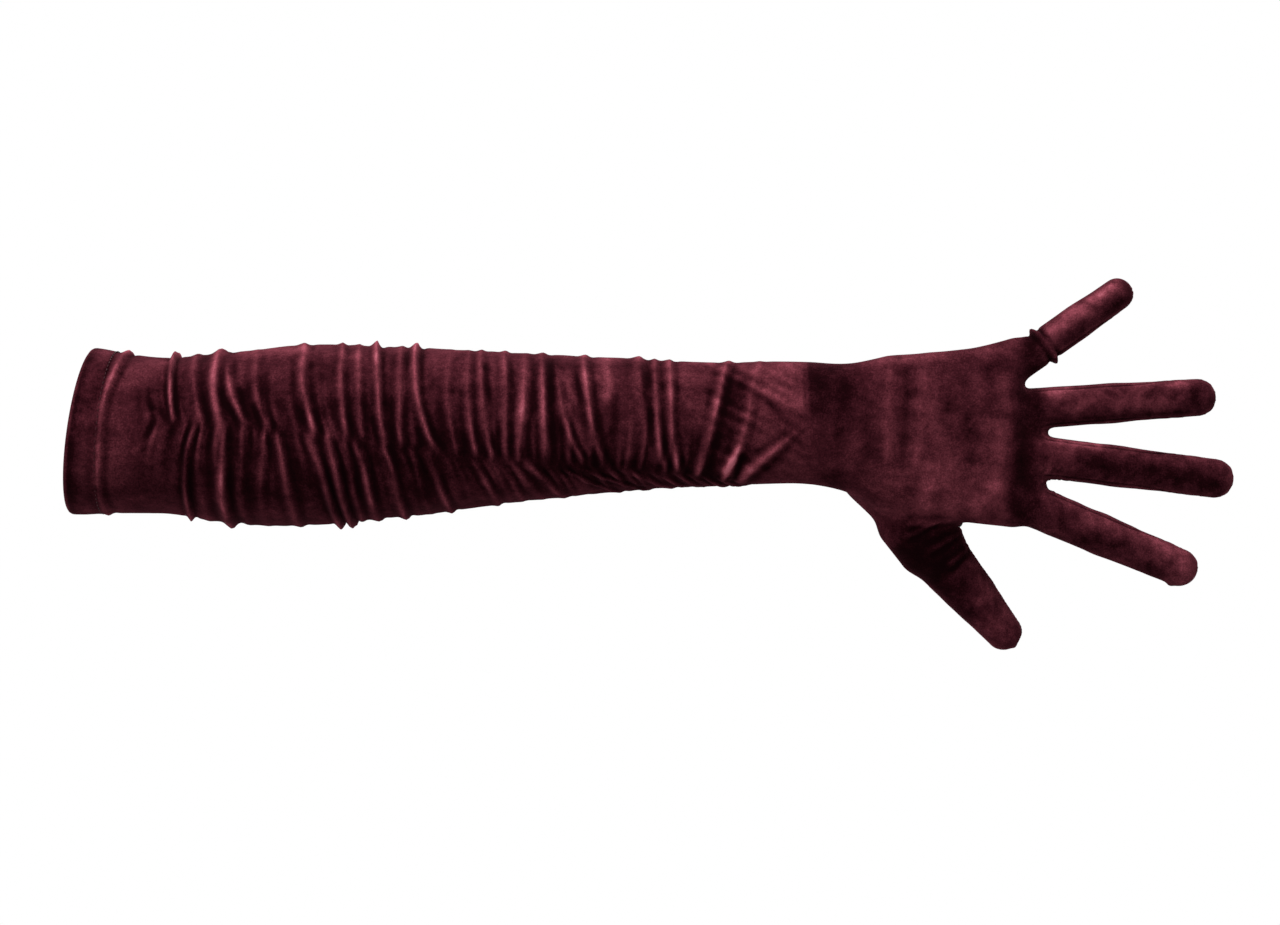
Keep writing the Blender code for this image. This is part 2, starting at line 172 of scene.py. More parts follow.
# Lighter and darker marks on the back of the arm and hand: partly where the pile has been brushed one way or
# the other, partly painted highlights on folds and painted shade between and under them. Two ends, (distance,
# height) in mm each, half width in mm, and how much lighter or darker
PILE_AND_SHADE_MARKS = (
    # by the mouth and above the first gathers
    (6, 30, 3, 13, 2.5, 0.06),
    (12, 25, 9, 9, 2, -0.16),
    (29, 9, 44, 3, 1.3, 0.14),
    (29, -8, 38, -2, 1.3, 0.12),
    (33, 12, 43, 3, 1.5, -0.18),
    (43, 25, 47, 9, 1.3, -0.15),
    (52, 22, 59, 7, 1.3, -0.18),
    (62, 16, 73, 3, 1.7, -0.22),
    (72, 16, 88, 0, 1.7, -0.22),
    # along the top of the forearm
    (72, 33, 100, 34, 4, 0.10),
    (80, 22, 93, 5, 3, -0.12),
    (95, 13, 102, 0, 2, -0.15),
    (104, 33, 106, 22, 1.7, -0.12),
    (107, 22, 113, 3, 2.5, -0.12),
    (122, 15, 130, 0, 2, -0.14),
    (135, 22, 138, 3, 2, -0.18),
    (152, 20, 159, -6, 4, -0.14),
    (150, 30, 171, 28, 2.5, 0.08),
    # shade under the gathers
    (50, -4, 48, -25, 2.5, -0.14),
    (72, -6, 77, -30, 4, -0.16),
    (93, -8, 108, -32, 3, -0.16),
    (113, -10, 124, -30, 2.5, -0.12),
    (141, -8, 149, -25, 4, -0.12),
    (166, -4, 171, -17, 3.5, -0.22),
    (188, -9, 222, -20, 2.5, -0.18),
    (218, -12, 270, -19, 2.5, -0.24),
    # the close folds before the wrist
    (174, 27, 180, 0, 1.7, -0.24),
    (184, 28, 184, 3, 1.3, -0.20),
    (192, 28, 186, 0, 2, 0.12),
    (196, 24, 193, -6, 1.7, -0.18),
    (202, 28, 204, -9, 2.2, -0.42),
    (205, 25, 213, 12, 1.3, 0.18),
    (209, 10, 217, -8, 1.2, 0.16),
    (213, 23, 218, 0, 1.3, -0.22),
    (225, 30, 226, 14, 2.5, 0.30),
    (229, 13, 228, -9, 2, -0.26),
    (240, 26, 245, -4, 1.7, -0.30),
    # the wrist
    (254, 23, 272, 21, 3, 0.12),
    (257, 11, 263, -8, 3.5, -0.18),
    (278, 21, 269, -14, 3, -0.26),
    (282, 19, 276, -4, 2, -0.18),
    (281, -8, 275, -16, 1.5, 0.28),
    (283, 19, 298, 8, 2, -0.28),
    # the back of the hand
    (335, 29, 394, 35, 2, 0.16),
    (330, 20, 338, -12, 6, -0.14),
    (346, 25, 344, -10, 2, 0.14),
    (353, 26, 350, -16, 2.5, -0.20),
    (360, 23, 357, -13, 2, 0.13),
    (369, 25, 370, 10, 4, -0.08),
    (379, 6, 380, -12, 3, -0.12),
    (388, 25, 399, 32, 4, -0.18),
    (391, 1, 393, -13, 4, 0.12),
    (400, 3, 400, -32, 3.5, -0.18),
    # the roots of the fingers
    (408, 19, 421, 14, 3, 0.14),
    (413, 0, 414, -4, 2, 0.16),
    (414, -16, 413, -21, 1.7, 0.14),
    (417, 25, 411, 34, 1.7, 0.12),
    (407, 35, 404, 43, 2.5, -0.12),
)
# Soft bands across the back of the hand: distance in mm, half width, height in mm, how the pile lies
BANDS = (
    (323, 7.5, -0.22, -0.18),
    (344.5, 3.0, 0.22, 0.06),
    (354.5, 5.0, -0.30, -0.06),
    (363.5, 4.0, 0.25, 0.05),
    (380.0, 4.0, -0.20, -0.05),
    (390.5, 6.0, 0.20, 0.05),
    (406.5, 5.5, -0.40, -0.30),
)


# Shader graphs


class Graph:
    """A material's nodes, made one by one with their settings and inputs."""

    def __init__(self, name):
        self.material = bpy.data.materials.new(name)
        self.material.use_nodes = True
        self.tree = self.material.node_tree
        self.shader = self.tree.nodes["Principled BSDF"]

    def node(self, kind, settings=None, **inputs):
        made = self.tree.nodes.new(kind)
        for key, value in (settings or {}).items():
            setattr(made, key, value)
        for key, value in inputs.items():
            self.join(made.inputs[int(key[1:]) if key[0] == "i" and key[1:].isdigit() else key], value)
        return made

    def join(self, socket, value):
        if isinstance(value, Number):
            value = value.socket
        if isinstance(value, bpy.types.NodeSocket):
            self.tree.links.new(value, socket)
        else:
            socket.default_value = value

    def number(self, kind, output, settings=None, **inputs):
        return Number(self, self.node(kind, settings, **inputs).outputs[output])

    def noise(self, where, scale, detail, roughness, distortion=0.0):
        return self.number(
            "ShaderNodeTexNoise", "Fac",
            Vector=where, Scale=scale, Detail=detail, Roughness=roughness, Distortion=distortion,
        )

    def ribs(self, direction, scale, distortion, detail=2.0):
        """Even bands across this direction."""
        return self.number(
            "ShaderNodeTexWave", "Fac", {"bands_direction": direction},
            Vector=self.place(), Scale=scale, Distortion=distortion, Detail=detail,
        )

    def place(self, stretch=(1, 1, 1)):
        """Where a point is on the object, stretched."""
        at = self.node("ShaderNodeTexCoord").outputs["Object"]
        return self.node("ShaderNodeMapping", Vector=at, Scale=stretch).outputs["Vector"]

    def attribute(self, name):
        return self.number("ShaderNodeAttribute", "Fac", {"attribute_name": name})

    def ramp(self, value, stops):
        made = self.node("ShaderNodeValToRGB", Fac=value)
        elements = made.color_ramp.elements
        while len(elements) < len(stops):
            elements.new(1.0)
        for element, (at, colour) in zip(elements, stops):
            element.position = at
            element.color = (*colour, 1.0)
        return made.outputs["Color"]

    def bump(self, height, distance, strength, under=None):
        inputs = {"Height": height, "Distance": distance, "Strength": strength}
        if under is not None:
            inputs["Normal"] = under
        return self.node("ShaderNodeBump", None, **inputs).outputs["Normal"]

    def finish(self, **inputs):
        for key, value in inputs.items():
            self.join(self.shader.inputs[key.replace("_", " ")], value)
        return self.material


class Number:
    """A number that changes over a surface. Arithmetic on it adds Math nodes."""

    def __init__(self, graph, socket):
        self.graph = graph
        self.socket = socket

    def calculate(self, operation, first, second):
        made = self.graph.node("ShaderNodeMath", {"operation": operation}, i0=first, i1=second)
        return Number(self.graph, made.outputs[0])

    def __add__(self, other):
        return self.calculate("ADD", self, other)

    def __sub__(self, other):
        return self.calculate("SUBTRACT", self, other)

    def __rsub__(self, other):
        return self.calculate("SUBTRACT", other, self)

    def __mul__(self, other):
        return self.calculate("MULTIPLY", self, other)


# The form


def between(table, at):
    """The row of a table at this distance, on a smooth curve through its rows."""
    last = len(table) - 2
    k = max(i for i in range(last + 1) if i == 0 or table[i][0] <= at)
    a, b = table[k], table[k + 1]
    before, after = table[max(k - 1, 0)], table[min(k + 2, last + 1)]
    span = b[0] - a[0]
    t = min(max((at - a[0]) / span, 0.0), 1.0)
    row = []
    for i in range(1, len(a)):
        slope_a = (b[i] - before[i]) / (b[0] - before[0]) * span
        slope_b = (after[i] - a[i]) / (after[0] - a[0]) * span
        row.append(
            a[i] * (2 * t**3 - 3 * t**2 + 1)
            + slope_a * (t**3 - 2 * t**2 + t)
            + b[i] * (3 * t**2 - 2 * t**3)
            + slope_b * (t**3 - t**2)
        )
    return row


def looked_up(table, low, high, step):
    """A function that reads a table's smooth curve at many places at once."""
    at = np.arange(low, high + step, step)
    rows = np.array([between(table, float(x)) for x in at]).T
    return lambda x: [np.interp(x, at, row) for row in rows]


section_at = looked_up(SECTIONS, -0.012, KNUCKLE_LINE, 0.00025)
seam_angle_at = looked_up(SEAM_TURNS, -0.012, KNUCKLE_LINE, 0.00025)


def soft_min(a, b, reach):
    """The smaller of two distances, rounded off where they are within reach of each other."""
    near = np.maximum(reach - np.abs(a - b), 0.0) / reach
    return np.minimum(a, b) - near * near * reach / 4


def ease(t):
    t = np.clip(t, 0.0, 1.0)
    return t * t * (3 - 2 * t)


def bell(distance, half_width):
    return np.exp(-((distance / half_width) ** 2))


def window(values, start, end, rise, fall=None):
    """1 between start and end, eased off to 0 at each of them."""
    return ease((values - start) / rise) * ease((end - values) / (fall or rise))


def beside(x, z, start, end):
    """How far along a line each point is, how far off it, and the line's length."""
    run, climb = end[0] - start[0], end[1] - start[1]
    length = math.hypot(run, climb)
    along = ((x - start[0]) * run + (z - start[1]) * climb) / length
    off = ((z - start[1]) * run - (x - start[0]) * climb) / length
    return along, off, length


def oval_distance(parts, halves, power=2.0):
    """About how far a point is outside an oval or an egg, negative inside."""
    shares = [np.abs(part / half) for part, half in zip(parts, halves)]
    g = sum(share**power for share in shares) ** (1 / power) + 1e-9
    slope = g ** (1 - power) * np.sqrt(
        sum((share ** (power - 1) / half) ** 2 for share, half in zip(shares, halves))
    )
    return (g - 1) / (slope + 1e-9)


class Digit:
    """A finger or a thumb: a tapering oval tube with a round tip."""

    def __init__(self, name, root, axis, palmward, length, bend, half_widths, half_depth, cuts):
        self.name = name
        self.root = root
        self.axis = axis
        self.palmward = palmward
        self.across = palmward.cross(axis)  # towards the thumb side
        self.length = length
        self.bend = bend
        self.half_widths = half_widths
        self.half_depth = half_depth
        self.dome = half_widths[1]
        self.starts, self.bent_by, self.cut, self.tip_bends, self.tip_bent_by = cuts

    def local(self, points):
        """Along the digit, across it towards the thumb side, and towards the palm."""
        offset = points - np.array(self.root)
        return [offset @ np.array(direction) for direction in (self.axis, self.across, self.palmward)]

    def halves(self, along):
        straight = self.length - self.dome
        share = np.clip(along / straight, 0.0, 1.0)
        width = self.half_widths[0] + (self.half_widths[1] - self.half_widths[0]) * share
        depth = self.half_depth * (1 - 0.12 * share)
        joint = 0.00035 * bell(along - self.bend, 0.007)
        return width + joint, depth + joint

    def distance(self, points):
        along, across, palmward = self.local(points)
        width, depth = self.halves(along)
        straight = self.length - self.dome
        past = np.maximum(along - straight, 0.0) + np.minimum(along + 0.016, 0.0)
        return oval_distance((past, across, palmward), (self.dome, width, depth))

    def point(self, along, angle):
        """A point on the digit's side, at an angle in radians from the back of it towards its thumb side."""
        past = max(along - self.length + self.dome, 0.0) / self.dome
        rounded = math.sqrt(max(1 - past * past, 0.0))
        width, depth = (float(half) * rounded for half in self.halves(np.array(along)))
        return (
            self.root
            + self.axis * along
            + self.across * (width * math.sin(angle))
            - self.palmward * (depth * math.cos(angle))
        )


def make_digits():
    digits = {}
    for name, (height, slope, length, bend, root, tip, depth, cuts) in FINGERS.items():
        turn = math.radians(slope)
        axis = Vector((math.cos(turn), 0.0, math.sin(turn)))
        start = Vector((KNUCKLE_LINE, 0.0, height))
        digits[name] = Digit(
            name, start, axis, Vector((0.0, 1.0, 0.0)), length, bend, (root, tip), depth, cuts
        )
    palmward = (THUMB_CLOSES - THUMB_AXIS * THUMB_CLOSES.dot(THUMB_AXIS)).normalized()
    digits["thumb"] = Digit(
        "thumb", THUMB_ROOT, THUMB_AXIS, palmward, THUMB_LENGTH, THUMB_BEND, THUMB_HALF_WIDTHS,
        THUMB_HALF_DEPTH, THUMB_CUTS,
    )
    return digits


DIGITS = make_digits()


def palm_distance(points):
    half_height, half_depth, middle = section_at(points[:, 0])
    square = 2.0 + 0.5 * ease((points[:, 0] - 0.335) / 0.04)
    side = oval_distance((points[:, 1], points[:, 2] - middle), (half_depth, half_height), square)
    return -soft_min(-side, PALM_END - points[:, 0], 0.006)


def thumb_base_distance(points):
    """The flare that carries the thumb out of the palm."""
    thumb = DIGITS["thumb"]
    whole = THUMB_ROOT - GUSSET_HEEL
    share = (points - np.array(GUSSET_HEEL)) @ np.array(THUMB_AXIS) / whole.dot(THUMB_AXIS)
    inside = np.clip(share, 0.0, 1.0)
    offset = points - (np.array(GUSSET_HEEL) + inside[:, None] * np.array(whole))
    width = GUSSET_HALF_WIDTH + (THUMB_HALF_WIDTHS[0] - GUSSET_HALF_WIDTH) * inside
    depth = GUSSET_HALF_DEPTH + (THUMB_HALF_DEPTH - GUSSET_HALF_DEPTH) * inside
    parts = [offset @ np.array(direction) for direction in (thumb.axis, thumb.across, thumb.palmward)]
    return oval_distance(parts, (0.008, width, depth))


# The pads of the palm and the cloth between the fingers: centre and half sizes
PADS = (
    ((0.4055, 0.0, -0.0002), (0.0078, 0.0058, 0.0060)),
    ((0.4050, 0.0, -0.0208), (0.0078, 0.0058, 0.0060)),
    ((0.352, 0.0120, -0.0180), (0.026, 0.0100, 0.0165)),
    ((0.352, 0.0108, 0.0140), (0.028, 0.0088, 0.0150)),
    ((0.393, 0.0065, 0.0000), (0.010, 0.0062, 0.0340)),
)


def glove_distance(points):
    """About how far a point is outside the glove's smooth form."""
    fingers = None
    for name in FINGERS:
        one = DIGITS[name].distance(points)
        fingers = one if fingers is None else soft_min(fingers, one, 0.0034)
    body = soft_min(palm_distance(points), fingers, 0.0040)
    for centre, halves in PADS:
        pad = oval_distance([points[:, i] - centre[i] for i in range(3)], halves)
        body = soft_min(body, pad, 0.0050)
    thumb = soft_min(DIGITS["thumb"].distance(points), thumb_base_distance(points), 0.006)
    return soft_min(body, thumb, 0.0075)


def form_slope(points):
    """The gradient of the distance from the form at each point."""
    step = 0.00012
    columns = [
        (glove_distance(points + push) - glove_distance(points - push)) / (2 * step)
        for push in np.eye(3) * step
    ]
    return np.stack(columns, axis=1)


def ease_onto_form(points, rounds, flat=False):
    """Moves points onto the form. When flat, each keeps its distance from the mouth."""
    for _ in range(rounds):
        distance = glove_distance(points)
        slope = form_slope(points)
        if flat:
            slope[:, 0] = 0.0
        points = points - slope * (distance / np.maximum((slope**2).sum(axis=1), 0.05))[:, None]
    return points


# Relief: how far the cloth stands off the form, and how its pile lies, with painted highlights and painted
# shade in its colour


def smooth_noise(points, size, seed):
    """Smooth random numbers from -1 to 1, with features of about that size."""
    draw = np.random.default_rng(seed)
    total = np.zeros(len(points))
    for _ in range(10):
        direction = draw.normal(size=3)
        direction /= np.linalg.norm(direction)
        wave = 2 * math.pi / (size * draw.uniform(0.8, 1.9))
        total += np.sin(points @ direction * wave + draw.uniform(0, 2 * math.pi))
    return total / 10 * 1.9


def round_the_arm(turn, seam, values):
    """A smooth curve round the arm through values at the gathers, the top, behind, the underside and back at
    the gathers, which lie at this angle below the middle of the back."""
    turns = (0.0, seam + 90, seam + 180, seam + 270, 360.0)
    return looked_up(tuple(zip(turns, values)), 0.0, 360.0, 3.0)(turn)[0]


def fold_course(turn, seam, up, top, under, low):
    """Where a fold runs: round the arm, with its last centimetre or so drawn along the gathers."""
    drawn_up, drawn_low = (0.75 if up > top else 0.15) * (up - top), 0.75 * (low - under)
    where = round_the_arm(turn, seam, (up - drawn_up, top, (top + under) / 2, under, low - drawn_low))
    return where + drawn_up * np.exp(-turn / 21) + drawn_low * np.exp(-(360 - turn) / 21)


# How far in mm the gathers draw the cloth along, above and below them, at distances in mm from the mouth
DRAWN_ABOVE = ((0, 6), (40, 6), (120, 6.5), (150, 4), (190, 2), (215, 0), (235, -3.5), (300, -4))
DRAWN_BELOW = ((0, 8), (45, 7), (62, 3), (80, -1), (100, -6), (150, -8), (190, -10), (300, -14))
GATHERED = (22, 292)  # where the gathers start and end, in mm from the mouth
PLEATS = (24.0, 296)  # and their small pleats


def drawn_along(mm, turn, girth):
    """How far the gathers have pulled the cloth along, in mm, at each point."""
    above = np.interp(mm, *zip(*DRAWN_ABOVE))
    below = np.interp(mm, *zip(*DRAWN_BELOW))
    return np.where(turn < 180, above, below) * np.exp(-girth / 11)


def from_gathers(x, turn):
    """How much cloth, in mm, lies between each point and the gathers."""
    return np.radians(np.minimum(turn, 360 - turn)) * section_at(x)[0] / MM


def sleeve_folds(mm, turn, points, patchy):
    """The folds that run round the sleeve, with painted highlights on their crests and painted shade in the
    hollows beside them.
    """
    height, pile = np.zeros((2, len(mm)))
    drift = 0.9 * smooth_noise(points * (0.6, 1.0, 1.0), 0.026, 7)
    for k, (up, top, under, low, h_up, h_top, h_under, h_low, half) in enumerate(FOLDS):
        seam = float(seam_angle_at((up + low) / 2 * MM)[0])
        tall = round_the_arm(turn, seam, (h_up, h_top, 0.45 * (h_top + h_under), h_under, h_low))
        away = (mm + drift - fold_course(turn, seam, up, top, under, low)) / (half * 0.84)
        steep = 1 + 0.35 * np.tanh(away)  # one flank is steeper than the other
        crest = np.exp(-(np.abs(away * steep) ** 1.8))
        hollow = bell(away - 2.2, 0.95) + 0.55 * bell(away + 2.3, 1.1)
        height += tall * (crest - 0.26 * hollow)
        strength = np.clip(tall / 1.25, 0, 1.2) * (0.84 + 0.36 * np.roll(patchy, k * 97))
        # Painted highlight on each fold's crest and painted shade in the hollows beside it
        pile += strength * (0.50 * crest**1.5 - 0.36 * hollow)
    return height, pile


def gathers(mm, turn, girth, points, patchy):
    """The small pleats on both sides of the elastic, and the crumpled line where it is sewn, with painted
    highlights on the pleats, crimps and lumps and painted shade in their hollows, in the seam's valley and in
    a broad band along the gathers.
    """
    height, pile = np.zeros((2, len(mm)))
    gathered = window(mm, *GATHERED, 14)
    drawn = drawn_along(mm, turn, girth)
    above = turn < 180
    draw = np.random.default_rng(11)
    at, last = PLEATS
    while at < last:
        for side in (above, ~above):
            start = at + draw.uniform(-1.6, 1.6)
            reach = draw.uniform(7, 24)
            half = draw.uniform(0.75, 1.35)
            tall = draw.uniform(0.35, 1.05)
            away = (mm - start - drawn) / half
            crest, hollow = bell(away, 1), bell(away - 1.9, 1)
            share = tall * bell(girth, reach) * side * gathered
            height += share * (crest - 0.3 * hollow)
            # Painted highlight on each pleat and painted shade in the hollow beside it
            pile += share * (0.26 * crest - 0.24 * hollow)
        at += draw.uniform(3.0, 4.6)
    unrolled = np.stack([mm - drawn + 40 * above, girth * 0.16, girth * 0.0], axis=1) * MM
    crimp = smooth_noise(unrolled, 0.0042, 17) * smooth_noise(points, 0.018, 19)
    crimp *= gathered * (0.25 + 0.75 * bell(girth, 26))
    height += 0.55 * crimp
    # Lighter where the crimps rise: a painted highlight
    pile += 0.30 * crimp
    lumpy = smooth_noise(points, 0.0042, 9)
    valley = bell(girth + 1.2 * smooth_noise(points, 0.012, 13), 1.2) * gathered
    crumpled = bell(girth, 3.4) * gathered * lumpy
    height += 0.70 * crumpled - valley * (0.22 + 0.40 * lumpy)
    # Painted highlight on the crumpled lumps and painted shade in the seam's valley
    pile += 0.12 * crumpled * ease((mm - 140) / 30) - valley * (0.05 + 0.24 * lumpy)
    # Painted shade in a broad band along the gathers
    pile -= (0.15 + 0.10 * patchy) * bell(girth, 19) * gathered
    return height, pile


def hem_relief(mm, points):
    """The hem, a little puckered along its stitches and a little darker all over, with painted shade in the
    stitch groove and along the rolled edge at the mouth and a painted highlight between them.
    """
    stitched = bell(mm - HEM_DEPTH / MM, 0.9)
    pucker = 1 + 0.7 * smooth_noise(points, 0.006, 15)
    pile = 0.07 * bell(mm - 8.5, 2.6) - 0.34 * bell(mm - 1.0, 3.4) - 0.05 * ease((14 - mm) / 3)
    return pucker * (0.18 * bell(mm - 6, 4) - 0.34 * stitched), pile - 0.16 * stitched


def sleeve_relief(x, turn, points):
    """Height in mm, and the lie of the pile on the sleeve, with painted highlights on the folds and painted
    shade in their hollows and underneath. Turn is the angle in degrees from the gathers,
    0 to 360, going up over the top first."""
    mm = x / MM
    slack = smooth_noise(points * (1.0, 1.0, 0.45), 0.020, 3)
    patchy = smooth_noise(points, 0.016, 5)
    layers = (
        sleeve_folds(mm, turn, points, patchy),
        gathers(mm, turn, from_gathers(x, turn), points, patchy),
        hem_relief(mm, points),
    )
    height, pile = (sum(values) for values in zip(*layers))
    height += 0.38 * slack * ease((mm - 18) / 20)
    # Painted shade: the underside of the arm darker, as light falls from above
    underneath = window(turn, 182, 350, 50, 30) * ease((mm - 20) / 10)
    pile += 0.08 * slack + 0.07 * patchy - 0.11 * underneath
    up = points[:, 2] / MM
    # Painted light: the top of the arm a little lighter, and a painted highlight on top of the wrist up to a
    # fold near 310 mm; the streaks are the pile's own tone
    streaks = smooth_noise(np.stack([mm * 0.4 + up * 0.9, mm * 0.08, up * 0.0], axis=1) * MM, 0.0030, 25)
    on_wrist = 0.22 * window(mm, 283, 309.5, 8, 1.6) * ease((up - 2) / 9)
    pile += window(turn, 0, 180, 40) * (0.05 + on_wrist + 0.16 * streaks * window(mm, 262, 312, 8, 6))
    fade = window(mm, -1, 323, 4, 20)
    return height * fade, pile * fade


# The seams along each digit, and how its pile lies, with painted light from above: the patches are mostly
# lighter along the upper side of a digit and darker lower down. Angles go round it in degrees from the back
# towards the thumb side. A patch of pile: angle, its spread, from and to along the digit in mm, and how much
SEAMS = {
    "index": (-124, -56),
    "middle": (-124, -56, 56, 124),
    "ring": (-124, -56, 56, 124),
    "little": (56, 124),
    "thumb": (-90, 90),
}
NAP_AND_LIGHT = {
    "index": (
        (-48, 24, 4, 74, 0.16), (20, 30, 8, 60, -0.10), (95, 25, 0, 70, -0.08), (-5, 60, 62, 80, 0.12)
    ),
    "middle": (
        (-58, 22, 6, 32, 0.20), (10, 38, 14, 84, -0.12), (70, 20, 10, 80, 0.05), (0, 90, 81, 92, 0.16)
    ),
    "ring": ((-52, 20, 2, 70, 0.14), (5, 22, 6, 52, 0.09), (48, 11, 4, 74, -0.14), (10, 40, 64, 74, -0.16)),
    "little": ((-38, 30, 7, 50, 0.30), (30, 18, 9, 46, -0.10), (75, 14, 6, 46, 0.04)),
    "thumb": (
        (-60, 30, 10, 56, 0.07), (20, 45, -14, 14, -0.26), (95, 30, 0, 60, 0.06), (0, 60, 40, 60, 0.07)
    ),
}
# Lumps where seams end on the index and ring fingertips and the thumb's, and the puckered cloth between the
# index and middle fingers
NUBS = ((0.4668, 0.0, -0.0664), (0.4842, 0.0, 0.0052), (0.4035, 0.0290, -0.0935))
PUCKERED_WEB = (0.4155, 0.0, -0.0210)


def brushed_and_shaded(points):
    """The marks on the pile: its lie, with painted highlights on folds and painted shade between and under
    them.
    """
    x, y, z = (points / MM).T
    ragged = 1 + 0.30 * smooth_noise(points, 0.009, 61)
    wobble = 0.9 * smooth_noise(points, 0.010, 63)
    total = np.zeros(len(points))
    for x0, z0, x1, z1, half, lie_and_shading in PILE_AND_SHADE_MARKS:
        along, off, length = beside(x, z, (x0, z0), (x1, z1))
        past = np.maximum(-along, 0) + np.maximum(along - length, 0)
        total += lie_and_shading * bell(off + wobble, half) * bell(past, max(half, 2.5)) * ragged
    return total * ease((1 - y) / 7)


def digit_relief(digit, points, distance):
    """Seams, creases and the lie of the pile on one digit, with painted highlights mostly along its upper
    side and painted shade lower down.
    """
    name = digit.name
    along, across, palmward = digit.local(points)
    near = ease(1 - distance / 0.003) * ease((along + 0.001) / 0.008)
    width, depth = digit.halves(along)
    angle = np.degrees(np.arctan2(across / width, -palmward / depth))
    girth = math.radians(1) * digit.half_widths[0] / MM  # mm for each degree
    height, pile = np.zeros((2, len(points)))
    for seam in SEAMS[name]:
        towards = 0 if name == "thumb" else math.copysign(34 if abs(seam) == 56 else -34, seam)
        off = (angle - seam - towards * 0.82 * ease((along / digit.length - 0.5) / 0.36)) * girth
        height += near * (0.26 * bell(np.abs(off) - 0.9, 0.6) - 0.42 * bell(off, 0.5))
        pile += near * (0.08 * bell(np.abs(off) - 1.0, 0.7) - 0.26 * bell(off, 0.6))
    height += near * 0.18 * smooth_noise(points, 0.0065, 31 + len(name)) * smooth_noise(points, 0.015, 37)
    height -= near * 0.15 * bell(along - digit.bend, 0.0035) * (palmward < 0)
    pile += near * 0.13 * smooth_noise(points * (0.6, 1.0, 1.0), 0.010, 41 + len(name))
    pile += near * 0.07 * smooth_noise(points, 0.0038, 55 + len(name))
    ragged = 1.5 * ease(1 - distance / 0.004) * (1 + 0.5 * smooth_noise(points, 0.005, 47))
    for middle, spread, start, end, lie_and_shading in NAP_AND_LIGHT[name]:
        apart = (angle - middle + 180) % 360 - 180
        pile += lie_and_shading * ragged * bell(apart, spread) * window(along / MM, start, end, 5)
    return height, pile


def creases(x, y, z):
    """The creases across the wrist and at the root of the thumb, each with a painted highlight on its crest
    and painted shade beside it.
    """
    height, pile = np.zeros((2, len(x)))
    for start, end, tall, half in CREASES:
        on_wrist = start[0] < 330
        crest_ends, shade_ends, lie_and_shading = (6, 3, 0.55) if on_wrist else (30, 30, 0.22)
        along, off, length = beside(x, z, start, end)
        off /= half * (0.55 + 0.6 * ease(along / length))
        ends = window(along, 0, length, 0.7 * length, 5)
        crest = bell(off, 1) * ends * ease((crest_ends - y) / 6)
        shade = (bell(off - 2.1, 1) + 0.6 * bell(off + 2.1, 1)) * ends * (y < shade_ends)
        height += tall * crest
        # Painted highlight on the crest and painted shade beside it
        pile += lie_and_shading * crest - 0.28 * shade
    return height, pile


def ring_fold(points):
    """The tight fold round the root of the little finger, with a painted highlight on it and painted shade
    beside it.
    """
    little = DIGITS["little"]
    along, across, palmward = little.local(points)
    ring = np.abs(along - 0.0058 + 0.10 * palmward - 0.05 * across) / MM
    uneven = 0.72 + 0.30 * np.tanh((np.abs(across) / MM - 3.5) / 1.6) + 0.16 * smooth_noise(points, 0.006, 57)
    uneven *= little.distance(points) < 0.006
    height = uneven * (1.8 * bell(ring, 1.0) - 0.5 * bell(ring - 2.2, 1.0))
    return height, uneven * (0.20 * bell(ring, 0.8) - 0.35 * bell(ring - 2.0, 1.2))


def hand_relief(points):
    """The same on the hand and the digits, from places in space: height, and the pile's lie with painted
    highlights and painted shade.
    """
    x, y, z = (points / MM).T
    layers = [creases(x, y, z), ring_fold(points)]
    in_hand = np.ones(len(points))
    for digit in DIGITS.values():
        distance = digit.distance(points)
        along = digit.local(points)[0]
        in_hand *= np.where(distance < 0.004, 1 - ease((along - 0.004) / 0.006), 1.0)
        layers.append(digit_relief(digit, points, distance))
    height, pile = (sum(values) for values in zip(*layers))
    back = ease((4 - y) / 8)
    wobble = 2.6 * smooth_noise(points, 0.022, 21)
    broken = 0.8 + 0.55 * smooth_noise(points * (1.0, 1.0, 0.5), 0.013, 23)
    for at, half, tall, lie_and_shading in BANDS:
        band = bell(x - at - wobble - 0.03 * z, half) * back * in_hand
        height += tall * band
        pile += lie_and_shading * band * (broken if at < 400 else 1.0)  # the band on the knuckles is whole
    streaks = smooth_noise(points * (1.0, 0.5, 0.30), 0.0065, 27) + 0.8 * smooth_noise(points, 0.010, 29)
    pile += (0.035 + 0.09 * streaks) * back * in_hand * ease((x - 312) / 10)
    # Painted shade on the upper back of the hand just past a fold near 310 mm, fading out by 336 mm
    pile -= 0.26 * window(x, 310.5, 336, 1.4, 22) * ease((z - 3) / 8) * back
    # Lighter across the lower part of the back of the hand, and darker at its lower edge
    pile += 0.20 * bell(z + 27, 12) * window(x, 338, 398, 12, 10) * back
    pile -= 0.24 * ease((-35 - z) / 4) * window(x, 345, 388, 8)
    for nub in NUBS:
        height += 1.1 * bell(np.linalg.norm(points - np.array(nub), axis=1) / MM, 1.6)
    web = np.linalg.norm((points - np.array(PUCKERED_WEB)) * (1, 0.5, 1), axis=1) / MM
    height += 0.7 * bell(web, 6.0) * smooth_noise(points, 0.0024, 51)
    here = ease((x - 262) / 20)
    return height * here, pile * here


# Making the cloth


def read(items, key, width=1, kind=float):
    """One property of all of a mesh's items, as an array."""
    values = np.empty(len(items) * width, kind)
    items.foreach_get(key, values)
    return values.reshape(-1, width) if width > 1 else values


def face_means(mesh, values):
    """The mean on each face of its vertices' values."""
    corners = read(mesh.loops, "vertex_index", kind=int)
    starts, counts = (read(mesh.polygons, key, kind=int) for key in ("loop_start", "loop_total"))
    return (np.add.reduceat(values[corners], starts, axis=0).T / counts).T


